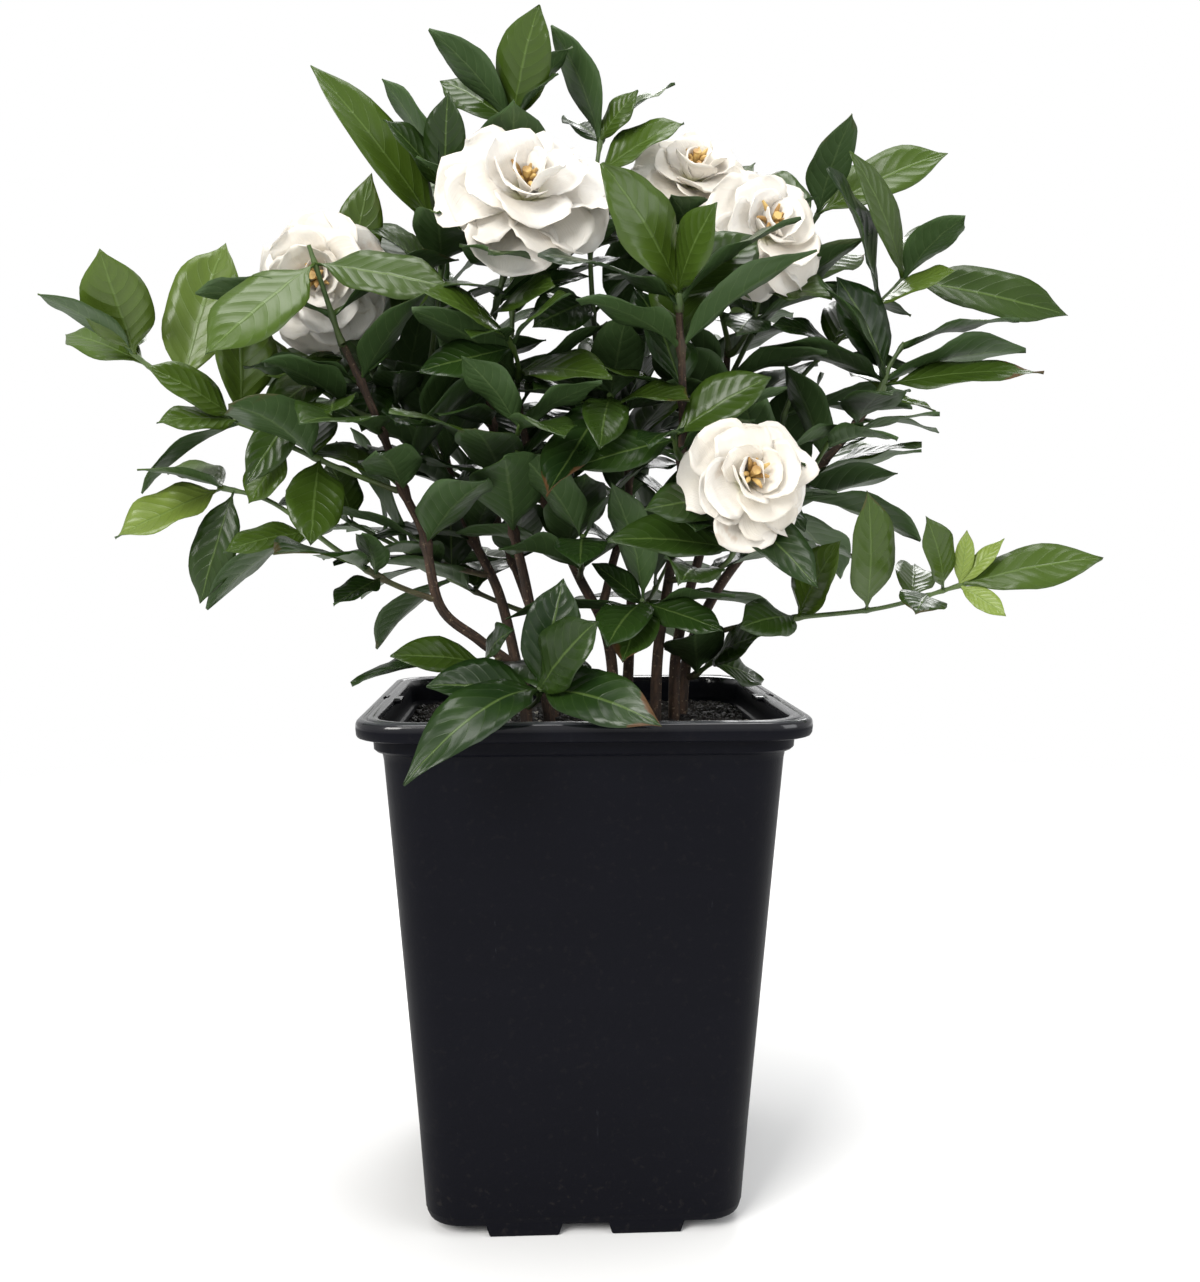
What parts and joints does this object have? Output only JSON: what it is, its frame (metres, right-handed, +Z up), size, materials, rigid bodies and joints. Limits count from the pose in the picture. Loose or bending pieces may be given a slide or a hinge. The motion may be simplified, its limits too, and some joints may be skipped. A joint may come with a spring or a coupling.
{
  "type": "potted gardenia",
  "caption": "Gardenia shrub with glossy leaves and double cream flowers growing in a square black nursery pot",
  "frame": {"origin": "on the ground under the middle of the pot", "axes": "+Z up, the front of the plant towards -Y, +X to the right seen from the front"},
  "size_m": [0.475, 0.2553, 0.53],
  "materials": {
    "pot_plastic": "satin",
    "potting_mix": "matte",
    "leafy_cane": "matte",
    "leafy_shoot": "gloss",
    "petals": "satin",
    "flower_centre": "matte"
  },
  "bodies": {
    "root": {"cane_back_left": "leafy_cane", "cane_back_middle": "leafy_cane", "cane_centre": "leafy_cane", "cane_far_right": "leafy_cane", "cane_left_back": "leafy_cane", "cane_left_limb": "leafy_cane", "cane_left_tall": "leafy_cane", "cane_middle": "leafy_cane", "cane_right": "leafy_cane", "cane_right_fork": "leafy_cane", "flower_front": "petals", "flower_front_centre": "flower_centre", "flower_left": "petals", "flower_left_centre": "flower_centre", "flower_right": "petals", "flower_right_centre": "flower_centre", "flower_top": "petals", "flower_top_centre": "flower_centre", "flower_upper_right": "petals", "flower_upper_right_centre": "flower_centre", "pot": "pot_plastic", "potting_mix": "potting_mix", "shoot_back_left": "leafy_shoot", "shoot_back_left_tip": "leafy_shoot", "shoot_back_low": "leafy_shoot", "shoot_back_low_left": "leafy_shoot", "shoot_back_middle": "leafy_shoot", "shoot_back_middle_tip": "leafy_shoot", "shoot_back_right": "leafy_shoot", "shoot_basal_front": "leafy_shoot", "shoot_centre_low": "leafy_shoot", "shoot_centre_middle": "leafy_shoot", "shoot_centre_spur": "leafy_shoot", "shoot_centre_top": "leafy_shoot", "shoot_crown": "leafy_shoot", "shoot_crown_right": "leafy_shoot", "shoot_far_left": "leafy_shoot", "shoot_flower_front": "leafy_shoot", "shoot_flower_left": "leafy_shoot", "shoot_flower_right": "leafy_shoot", "shoot_flower_top": "leafy_shoot", "shoot_flower_upper_right": "leafy_shoot", "shoot_inner_left": "leafy_shoot", "shoot_left_inside": "leafy_shoot", "shoot_left_stub": "leafy_shoot", "shoot_limb_spur": "leafy_shoot", "shoot_low_left": "leafy_shoot", "shoot_low_right": "leafy_shoot", "shoot_middle_front": "leafy_shoot", "shoot_middle_inside": "leafy_shoot", "shoot_right_back": "leafy_shoot", "shoot_right_base": "leafy_shoot", "shoot_right_front": "leafy_shoot", "shoot_right_inside": "leafy_shoot", "shoot_right_middle": "leafy_shoot", "shoot_right_top": "leafy_shoot", "shoot_side_left": "leafy_shoot", "shoot_side_right": "leafy_shoot", "shoot_tall_inside": "leafy_shoot", "shoot_upper_left": "leafy_shoot"}
  },
  "joints": []
}
